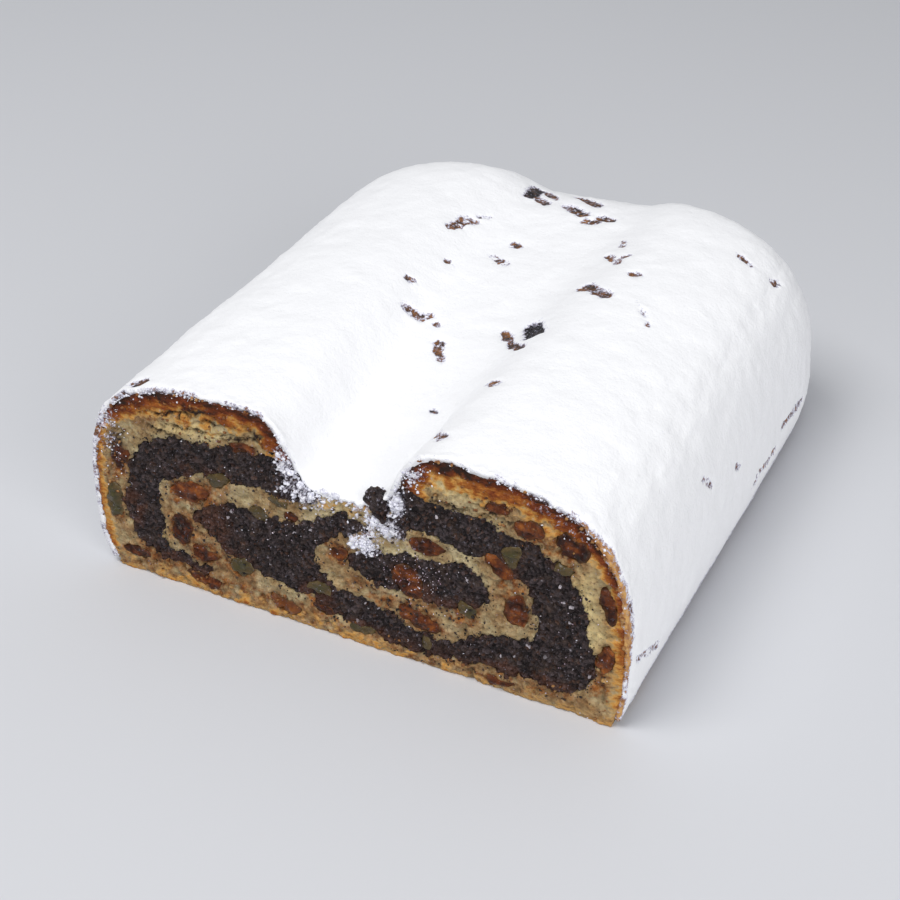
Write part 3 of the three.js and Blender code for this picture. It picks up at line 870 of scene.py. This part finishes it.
core_low = Vector((low.x + CORE, low.y - 1, -1))
core_high = Vector((high.x - CORE, high.y - CORE, high.z - CORE))
for vertex in sugar.data.vertices:
    p = vertex.co
    p.y = max(p.y, low.y + FRONT_GAP)
    inward = Vector(min(max(c, a), b) for c, a, b in zip(p, core_low, core_high)) - p
    inward.normalize()
    found, normal = loaf_tree.ray_cast(p - inward * OUTSIDE, inward, REACH)[:2]
    if found:
        vertex.co = found + normal * COAT
        vertex.co.y = max(vertex.co.y, low.y + FRONT_GAP)
bpy.ops.object.mode_set(mode="EDIT")
bpy.ops.mesh.select_mode(type="VERT")
bpy.ops.mesh.select_all(action="SELECT")
bpy.ops.mesh.region_to_loop()
bpy.ops.mesh.select_all(action="INVERT")
bpy.ops.mesh.vertices_smooth(factor=0.5, repeat=9)
bpy.ops.object.mode_set(mode="OBJECT")

# Places where the crust shows: the ends of a stroke on the top (x, and y from the cut), its width, and how
# dark and bare it is, from 0 to 1; then the same on the flanks (side, y and z). Sizes in mm.
BARE_TOP = [
    (18, 72, 20.5, 66, 3.0, 1.0), (11, 69.5, 14.5, 64.5, 0.8, 0.5), (14.5, 64.5, 20, 59, 0.9, 0.55),
    (-18.5, 68, -14, 67.5, 1.6, 0.45), (-15, 66.5, -12, 70.5, 1.1, 0.35),
    (24.5, 91, 31, 86.5, 2.2, 0.55), (-15.5, 143, -16.5, 150, 2.8, 0.85),
    (-14.5, 143, -8.5, 139.5, 1.4, 0.45), (-12.5, 149.5, -7, 143.5, 1.0, 0.5),
    (-2, 149, 5.5, 144, 1.6, 0.5), (-1.5, 139, 4.5, 136, 2.0, 0.55), (7, 132, 10, 132.5, 1.0, 0.3),
    (10, 135.5, 14, 135, 1.0, 0.5), (-25.5, 108.5, -23.5, 114.5, 0.9, 0.4),
    (-24, 115.5, -21.5, 117.5, 0.9, 0.3), (-22, 120.5, -19.5, 123, 0.9, 0.5),
    (-23.5, 77.5, -22, 78, 0.7, 0.3), (-19.5, 94, -19, 94.5, 0.8, 0.5),
    (-9.5, 104.5, -4.5, 102, 0.5, 0.2), (-7, 112.5, -6, 112.5, 0.6, 0.4),
    (23, 111.5, 27, 106.5, 0.8, 0.3), (27, 109, 28.5, 110, 0.7, 0.4), (23.5, 120.5, 25, 116, 0.6, 0.1),
    (33.5, 99.5, 34.5, 100, 0.7, 0.4), (40.5, 86.5, 45.5, 78.5, 0.8, 0.35),
    (-4, 59.5, -2.5, 56.5, 1.0, 0.35), (-1.5, 55.5, -0.5, 54, 0.9, 0.5), (-8.5, 67.5, -8, 67, 0.6, 0.4),
    (18.5, 14.5, 22, 9.5, 1.0, 0.4), (7.5, 33.5, 8.5, 33.5, 0.6, 0.5), (22, 37, 23.5, 36.5, 0.6, 0.2),
    (54.5, 128, 57.5, 127.5, 0.8, 0.3), (63.5, 129, 64.5, 131, 0.9, 0.35),
    (-59.5, 3.5, -58, 4, 1.8, 0.55),
]
BARE_FLANK = [
    (1, 5, 19, 20, 11.5, 0.8, 0.2), (1, 2, 36, 2, 28, 0.8, 0.3), (1, 117, 17, 137, 13.5, 1.0, 0.3),
    (1, 92, 13, 112, 12, 0.7, 0.3), (1, 52, 39, 56, 35, 0.5, 0.4), (1, 75, 29, 77, 28, 0.4, 0.4),
    (-1, 22, 29, 25, 27, 0.5, 0.2), (-1, 54, 13, 63, 10.5, 0.8, 0.35), (-1, 97, 43, 98, 45, 0.4, 0.2),
    (-1, 121, 17, 124, 14.5, 0.7, 0.3),
]
strokes = []
for x1, y1, x2, y2, width, dark in BARE_TOP:
    above = [Vector((x * MM, cut_y + y * MM, high.z + 10 * MM)) for x, y in ((x1, y1), (x2, y2))]
    strokes.append((above, Vector((0, 0, -1)), width, dark))
for side, y1, z1, y2, z2, width, dark in BARE_FLANK:
    beside = [Vector((side * 100 * MM, cut_y + y * MM, z * MM)) for y, z in ((y1, z1), (y2, z2))]
    strokes.append((beside, Vector((-side, 0, 0)), width, dark))
# The far end, which is rounded, was rubbed too: x and z of the ends of each stroke.
BARE_END = [(-41, 38, -36, 42, 0.7, 0.25), (19, 12, 27, 10.5, 0.9, 0.3), (37, 33, 38, 35, 0.4, 0.2)]
for x1, z1, x2, z2, width, dark in BARE_END:
    beyond = [Vector((x * MM, high.y + 20 * MM, z * MM)) for x, z in ((x1, z1), (x2, z2))]
    strokes.append((beyond, Vector((0, -1, 0)), width, dark))
bare = []
for starts, way, width, dark in strokes:
    hits = [loaf_tree.ray_cast(start, way)[0] for start in starts]
    if all(hits):
        bare.append((hits[0], hits[1], width * MM / 2, dark))


def bareness(p):
    """How bare and how dark the crust shows at a point: each from 0 to 1."""
    most, darkness = 0.0, 0.0
    for a, b, radius, dark in bare:
        if abs(p.x - a.x) > 14 * MM or abs(p.y - a.y) > 30 * MM:
            continue  # too far away to matter
        line = b - a
        share = min(max((p - a).dot(line) / max(line.length_squared, 1e-12), 0), 1)
        distance = max((p - a - line * share).length - COAT, 0) / radius
        amount = 1 / (1 + distance**4)
        if amount > most:
            most, darkness = amount, dark
    return most, darkness


# Finer cells at the cut and round the bare places.
for reach, least in ((4.5 * MM, 0.07), (1.6 * MM, 0.35)):
    fine_cell = [
        face.center.y < cut_y + reach or bareness(face.center)[0] > least for face in sugar.data.polygons
    ]
    bpy.ops.object.mode_set(mode="EDIT")
    bpy.ops.mesh.select_mode(type="FACE")
    bpy.ops.mesh.select_all(action="DESELECT")
    bpy.ops.object.mode_set(mode="OBJECT")
    sugar.data.polygons.foreach_set("select", fine_cell)
    bpy.ops.object.mode_set(mode="EDIT")
    bpy.ops.mesh.subdivide(number_cuts=1)
    bpy.ops.object.mode_set(mode="OBJECT")

# Powder heaps and drifts. The sugar thins out at the cut, most on the left, and over the bare places.
cover, char_and_lit_at, moved = [], [], []
for vertex in sugar.data.vertices:
    p = vertex.co
    broad_wave = 1.2 * noise.noise(p / (34 * MM)) + noise.noise(p / (14 * MM))
    drift = noise.noise(p / (5.5 * MM) + Vector((9, 0, 0)))
    lump = noise.noise(p / (1.9 * MM) + Vector((0, 7, 0)))
    speck = noise.noise(p / (1.1 * MM) + Vector((0, 0, 5)))
    amount, dark = bareness(p + Vector((lump, 0.3 * speck, drift)) * 0.8 * MM)
    ragged_share = 1.1 - 0.85 * dark
    amount = min(max(amount * (0.55 + 0.85 * dark + ragged_share * (0.75 * lump + 0.5 * speck)), 0), 1)
    back_from_cut = (p.y - cut_y) / MM
    in_cleft = math.exp(-(((p.x / MM - 1) / 15) ** 2))
    bare_edge = 1.1 * drift + 0.8 * lump - 2.2 * in_cleft + (0.4 if p.x < -0.02 else 0)
    # On the right flank the sugar stops further back from the cut, and the golden crust it leaves bare is
    # made lighter there: painted light, falling from the right.
    lit_golden_flank = min(max((p.x / MM - 56) / 10, 0), 1)
    bare_edge += 1.5 * lit_golden_flank
    front = min(max((back_from_cut - max(bare_edge, 0)) / 1.8 + 0.58, 0), 1)
    low_edge = min(max((p.z / MM - 3.2 - 2.0 * drift - lump) / 4, 0), 1)
    layer = min(front, 0.45 + 0.55 * low_edge, 1 - amount)
    sunk = -COAT * (0.25 + 0.3 * dark) * (1 - layer) ** 1.3
    heaps = (0.26 * broad_wave + 0.3 * drift + 0.26 * lump + 0.1 * speck) * MM * (0.3 + 0.7 * layer)
    place = p + vertex.normal * (sunk + heaps)
    # In the cleft the sugar spills over the cut edge.
    spill = in_cleft * math.exp(-back_from_cut / 1.6)
    place += Vector((0, -0.5 - 1.2 * max(drift + lump, 0), -0.9 - 1.5 * max(lump, 0))) * spill * MM
    moved.append(place)
    cover.append(layer)
    # How dark the bare crust is: dark where charred, and lighter on the right flank at the cut, where a
    # negative value is painted light.
    char_and_lit_at.append(dark**2 * amount - 0.6 * lit_golden_flank * (1 - front))
for vertex, p in zip(sugar.data.vertices, moved):
    vertex.co = p
sugar.data.attributes.new("cover", "FLOAT", "POINT").data.foreach_set("value", cover)
sugar.data.attributes.new("dark", "FLOAT", "POINT").data.foreach_set("value", char_and_lit_at)

bpy.ops.object.select_all(action="DESELECT")
sugar.select_set(True)
bpy.context.view_layer.objects.active = sugar
wall = sugar.modifiers.new("wall", "SOLIDIFY")
wall.thickness = COAT + 0.2 * MM
wall.offset = -1
bpy.ops.object.modifier_apply(modifier="wall")
for vertex in sugar.data.vertices:
    vertex.co.z = max(vertex.co.z, 0.1 * MM)
bpy.ops.object.shade_smooth()
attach(sugar, "root")
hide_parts("sugar_coat")

icing, tree, shader = new_material("sifted_icing_sugar", {"Roughness": 0.9, "IOR": 1.45})
place = add_node(tree, "ShaderNodeTexCoord").outputs["Object"]
# Chestnut crust under the sugar, nearly black where fruit or filling burst through and charred, and
# lighter golden on the right flank at the cut, where light from the right is painted in.
crust_tone = add_node(
    tree, "ShaderNodeTexNoise", {"Vector": place, "Scale": cells_of(2), "Detail": 4, "Roughness": 0.65}
)
crust_sum = add_node(
    tree,
    "ShaderNodeMath",
    {0: crust_tone.outputs["Fac"], 1: stretched(tree, attribute(tree, "dark"), -1, 1, 0.4, -0.4)},
    operation="ADD",
)
under = add_node(
    tree,
    "ShaderNodeValToRGB",
    {"Fac": crust_sum.outputs[0]},
    stops=[(0.12, "#19181b"), (0.32, "#3d332f"), (0.5, "#7a5133"), (0.66, "#ad7a4c"), (0.82, "#d6a767")],
)
# The powder is bluish grey where it lies thin and white where it lies deep. Its grains are drawn 0.8 mm
# wide, because real ones are too fine to show, and it cakes in lumps 2.4 mm wide.
powder = add_node(
    tree, "ShaderNodeTexNoise", {"Vector": place, "Scale": cells_of(0.77), "Detail": 4, "Roughness": 0.7}
)
depth = add_node(
    tree,
    "ShaderNodeMath",
    {0: attribute(tree, "cover"), 1: stretched(tree, powder.outputs["Fac"], 0.3, 0.7, -0.42, 0.42)},
    operation="ADD",
)
sugar_tone = add_node(
    tree,
    "ShaderNodeValToRGB",
    {"Fac": depth.outputs[0]},
    stops=[(0.2, "#9a95a8"), (0.4, "#cfcedd"), (0.56, "#f0f0f7"), (0.7, "#fbfbfd")],
)
colour = mixed(
    tree, stretched(tree, depth.outputs[0], 0.12, 0.34), under.outputs[0], sugar_tone.outputs[0]
)
tree.links.new(colour, shader.inputs["Base Color"])
caked = add_node(
    tree, "ShaderNodeTexNoise", {"Vector": place, "Scale": cells_of(2.4), "Detail": 3, "Roughness": 0.6}
)
lumpy = add_node(
    tree, "ShaderNodeBump", {"Height": caked.outputs["Fac"], "Strength": 0.4, "Distance": 0.0007}
)
bump = add_node(
    tree,
    "ShaderNodeBump",
    {"Height": powder.outputs["Fac"], "Strength": 0.45, "Distance": 0.0004, "Normal": lumpy.outputs[0]},
)
tree.links.new(bump.outputs[0], shader.inputs["Normal"])
sugar.data.materials.append(icing)

# ---------------------------------------------------------------------------------------------------------
# Loose grains: the knife and the sieve leave lumps and crystals of sugar, poppy seeds and crumbs of crust
# on the cut, along its rim, in the cleft and in the bare places. They cling where they fell.
# ---------------------------------------------------------------------------------------------------------
sugar_skin = BVHTree.FromPolygons(
    [v.co.copy() for v in sugar.data.vertices], [list(f.vertices) for f in sugar.data.polygons]
)
strew = random.Random(11)


def on_cut(x, z):
    """A point of the cut surface; x and z in mm. None outside it."""
    i, k = round((x * MM - face_low.x) / CRUMB), round((z * MM - face_low.z) / CRUMB)
    if 0 <= i <= columns and 0 <= k <= rows and inside[i, k]:
        return Vector((x * MM, cut_y - relief[i, k] * MM, z * MM))


def heaped(heaps):
    """Places on the cut, thickest at the middle of each heap. A heap is its middle (x, z) and how far it
    spreads each way, how many grains it has, and the smallest and largest of them, in mm."""
    found = []
    for x, z, wide, tall, count, small, large in heaps:
        for _ in range(count):
            at = on_cut(strew.gauss(x, wide), strew.gauss(z, tall))
            if at:
                found.append((at, strew.uniform(small, large)))
    return found


def strewn(name, subdivisions, places, flatness, material):
    """Many small grains as one piece: each place is a point and the grain's diameter in mm."""
    bpy.ops.object.select_all(action="DESELECT")
    bpy.ops.mesh.primitive_ico_sphere_add(subdivisions=subdivisions, radius=0.5 * MM)
    grain = bpy.context.object
    ball = [v.co.copy() for v in grain.data.vertices]
    sides = [list(f.vertices) for f in grain.data.polygons]
    points, faces = [], []
    for at, size in places:
        at = Vector((at.x, at.y, max(at.z, 0.75 * size * MM)))
        turn = Matrix.Rotation(strew.uniform(0, 2 * math.pi), 3, "Z")
        turn = turn @ Matrix.Rotation(strew.uniform(-0.5, 0.5), 3, "X")
        stretch = Vector((strew.uniform(0.8, 1.25), strew.uniform(0.7, 1.1), strew.uniform(flatness, 1)))
        first = len(points)
        for p in ball:
            bumpy = 1 + 0.9 * noise.noise(p / (0.35 * MM) + at * 1000)
            points.append(at + turn @ (p * stretch * size * bumpy))
        faces += [[first + i for i in side] for side in sides]
    grain.data.clear_geometry()
    grain.data.from_pydata(points, [], faces)
    grain.name = name
    bpy.ops.object.shade_smooth()
    grain.data.materials.append(material)
    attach(grain, "root")
    return grain


lump_places = heaped([
    (-10, 43.5, 4.5, 3.4, 70, 0.4, 1.3), (0, 43.6, 5, 1.3, 45, 0.4, 1.1),
    (14.4, 47.2, 0.8, 1.8, 60, 0.4, 1.1), (9.8, 40, 2.8, 1.5, 50, 0.3, 0.9),
    (6, 32.6, 1.5, 1.5, 60, 0.4, 1.1), (-68, 46, 2.6, 9, 120, 0.2, 0.7), (-65, 57, 6, 2.0, 80, 0.2, 0.8),
    (60, 56, 5, 3, 15, 0.2, 0.5), (-14.5, 50, 2, 2.5, 45, 0.3, 1.0), (17.5, 55, 1.6, 3, 45, 0.3, 0.9),
    (20, 56, 4, 3, 30, 0.2, 0.7), (0, 24, 40, 14, 40, 0.2, 0.45),
])
# Along the rim they cling most to the crust of the top, less to the right flank and not below mid height.
RIM_GRAINS = 1700
rim_corners = [(i, k) for i, k in zip(*np.nonzero(rim)) if grid_z[i, k] > 10 * MM]
for _ in range(RIM_GRAINS):
    i, k = strew.choice(rim_corners)
    if grid_z[i, k] < 36 * MM or (grid_x[i, k] > 58 * MM and strew.random() < 0.75):
        continue
    if -30 * MM < grid_x[i, k] < -15 * MM and strew.random() < 0.7:
        continue
    outward = strew.gauss(0.3, 0.8)
    middle = Vector((grid_x[i, k], 0, grid_z[i, k] - 0.03)).normalized()
    at = Vector((grid_x[i, k], cut_y - strew.uniform(-0.3, 0.3) * MM, grid_z[i, k]))
    at += middle * outward * MM
    if noise.noise(at / (3.5 * MM)) > strew.uniform(-0.2, 0.5):
        lump_places.append((at, 0.18 + 0.65 * strew.random() ** 2.5))
clod_places = []
for x, z, size in (
    (-14, 47.5, 1.9), (-11.5, 44.8, 1.7), (-8.6, 42.2, 2.2), (-5.2, 44.6, 1.6), (-2, 44.4, 1.8),
    (5.2, 32.4, 1.8), (7.4, 31.6, 1.5), (14.2, 46, 2.2), (14.6, 48.6, 2.0), (8.6, 40.6, 1.8),
    (11.6, 39, 1.5), (-17.2, 51.8, 1.6),
):
    clod_places.append((on_cut(x, z) or Vector((x * MM, cut_y, z * MM)), size))

clump, tree, shader = new_material("clumped_icing_sugar", {"Roughness": 0.85, "IOR": 1.45})
place = add_node(tree, "ShaderNodeTexCoord").outputs["Object"]
powder = add_node(
    tree, "ShaderNodeTexNoise", {"Vector": place, "Scale": cells_of(0.63), "Detail": 3, "Roughness": 0.6}
)
clump_colour = add_node(
    tree,
    "ShaderNodeValToRGB",
    {"Fac": powder.outputs["Fac"]},
    stops=[(0.35, "#c6c5d6"), (0.55, "#eeeef6"), (0.7, "#fafafd")],
)
tree.links.new(clump_colour.outputs[0], shader.inputs["Base Color"])
bump = add_node(
    tree, "ShaderNodeBump", {"Height": powder.outputs["Fac"], "Strength": 0.4, "Distance": 0.0003}
)
tree.links.new(bump.outputs[0], shader.inputs["Normal"])
strewn("sugar_lumps", 1, lump_places, 0.6, clump)
strewn("sugar_clods", 3, clod_places, 0.7, clump)

# Crystals of coarse sugar, 0.2 to 0.4 mm, clear and sharp, sparkle in the filling.
crystal_places = heaped([
    (20, 27, 6, 4, 150, 0.22, 0.42), (-20, 28, 12, 5, 50, 0.22, 0.42), (58, 22, 5, 12, 40, 0.22, 0.42),
    (-45, 38, 16, 8, 40, 0.22, 0.42),
])
crystal, tree, shader = new_material("clear_sugar_crystal", {"Roughness": 0.15, "IOR": 1.54})
place = add_node(tree, "ShaderNodeTexCoord").outputs["Object"]
tint = add_node(tree, "ShaderNodeTexNoise", {"Vector": place, "Scale": cells_of(6.7)})
tint_colour = add_node(
    tree, "ShaderNodeValToRGB", {"Fac": tint.outputs["Fac"]}, stops=[(0.35, "#a8889c"), (0.6, "#e6dfe8")]
)
tree.links.new(tint_colour.outputs[0], shader.inputs["Base Color"])
strewn("sugar_crystals", 1, crystal_places, 0.8, crystal)

# Poppy seeds, whole and broken, 0.35 to 1 mm long and blue-black to brown.
seed_places = []
beside_filling = (near_filling < 2.2 * MM) & on_dough & inside & (bake < 0.5)
seam_corners = list(zip(*np.nonzero(beside_filling)))
for i, k in strew.sample(seam_corners, 210):
    seed_places.append((on_cut(grid_x[i, k] / MM, grid_z[i, k] / MM), strew.uniform(0.35, 0.85)))
SEED_HEAPS = ((-10, 45, 6, 4, 30), (10, 42, 4, 4, 25), (20, 18, 10, 3, 60), (-40, 20, 8, 6, 30))
for x, z, wide, tall, count in SEED_HEAPS:
    for _ in range(count):
        seed_places.append((on_cut(strew.gauss(x, wide), strew.gauss(z, tall)), strew.uniform(0.6, 1.0)))
CHARRED = 0.7  # seeds lie in places darker than this, and crumbs of crust in the lighter ones
for a, b, radius, dark in bare:
    if dark > CHARRED:
        for _ in range(round(900 * dark * radius * ((b - a).length + radius) / (4 * MM))):
            at = a.lerp(b, strew.random()) + Vector([strew.gauss(0, 0.55) * radius for _ in range(3)])
            nearest = sugar_skin.find_nearest(at)[0]
            seed_places.append((nearest, strew.uniform(0.5, 0.95)))
seed_places = [(at, size) for at, size in seed_places if at]
seed_coat, tree, shader = new_material(
    "whole_poppy_seed", {"Roughness": 0.5, "IOR": 1.47, "Specular IOR Level": 0.25}
)
place = add_node(tree, "ShaderNodeTexCoord").outputs["Object"]
tint = add_node(tree, "ShaderNodeTexNoise", {"Vector": place, "Scale": cells_of(1.4), "Detail": 2})
tint_colour = add_node(
    tree,
    "ShaderNodeValToRGB",
    {"Fac": tint.outputs["Fac"]},
    stops=[(0.35, "#1a1617"), (0.5, "#2f2829"), (0.65, "#4b3a30")],
)
tree.links.new(tint_colour.outputs[0], shader.inputs["Base Color"])
strewn("poppy_seeds", 1, seed_places, 0.7, seed_coat)

# Crumbs of crust, 0.3 to 1.3 mm.
crumb_places = []
for i, k in strew.sample(rim_corners, 60):
    if abs(grid_x[i, k]) < 0.02:
        continue
    at = Vector((grid_x[i, k], cut_y + strew.uniform(-0.2, 0.6) * MM, grid_z[i, k]))
    crumb_places.append((at, strew.uniform(0.4, 1.3)))
crumb_places += heaped([
    (-45, 54, 12, 3, 60, 0.4, 1.1), (-68, 42, 3, 10, 40, 0.4, 1.1), (40, 55, 12, 4, 50, 0.4, 1.1),
    (0, 4, 45, 2, 80, 0.4, 1.1),
])
for a, b, radius, dark in bare:
    if dark < CHARRED:
        for _ in range(1 + round(radius / (0.8 * MM))):
            at = a.lerp(b, strew.random()) + Vector([strew.gauss(0, 0.6) * radius for _ in range(3)])
            crumb_places.append((sugar_skin.find_nearest(at)[0], strew.uniform(0.3, 0.6)))
toasted, tree, shader = new_material("toasted_crumb", {"Roughness": 0.75, "IOR": 1.45})
place = add_node(tree, "ShaderNodeTexCoord").outputs["Object"]
tint = add_node(tree, "ShaderNodeTexNoise", {"Vector": place, "Scale": cells_of(2), "Detail": 3})
tint_colour = add_node(
    tree,
    "ShaderNodeValToRGB",
    {"Fac": tint.outputs["Fac"]},
    stops=[(0.35, "#4f2c17"), (0.5, "#80512a"), (0.65, "#ad8350")],
)
tree.links.new(tint_colour.outputs[0], shader.inputs["Base Color"])
strewn("crust_crumbs", 1, crumb_places, 0.6, toasted)
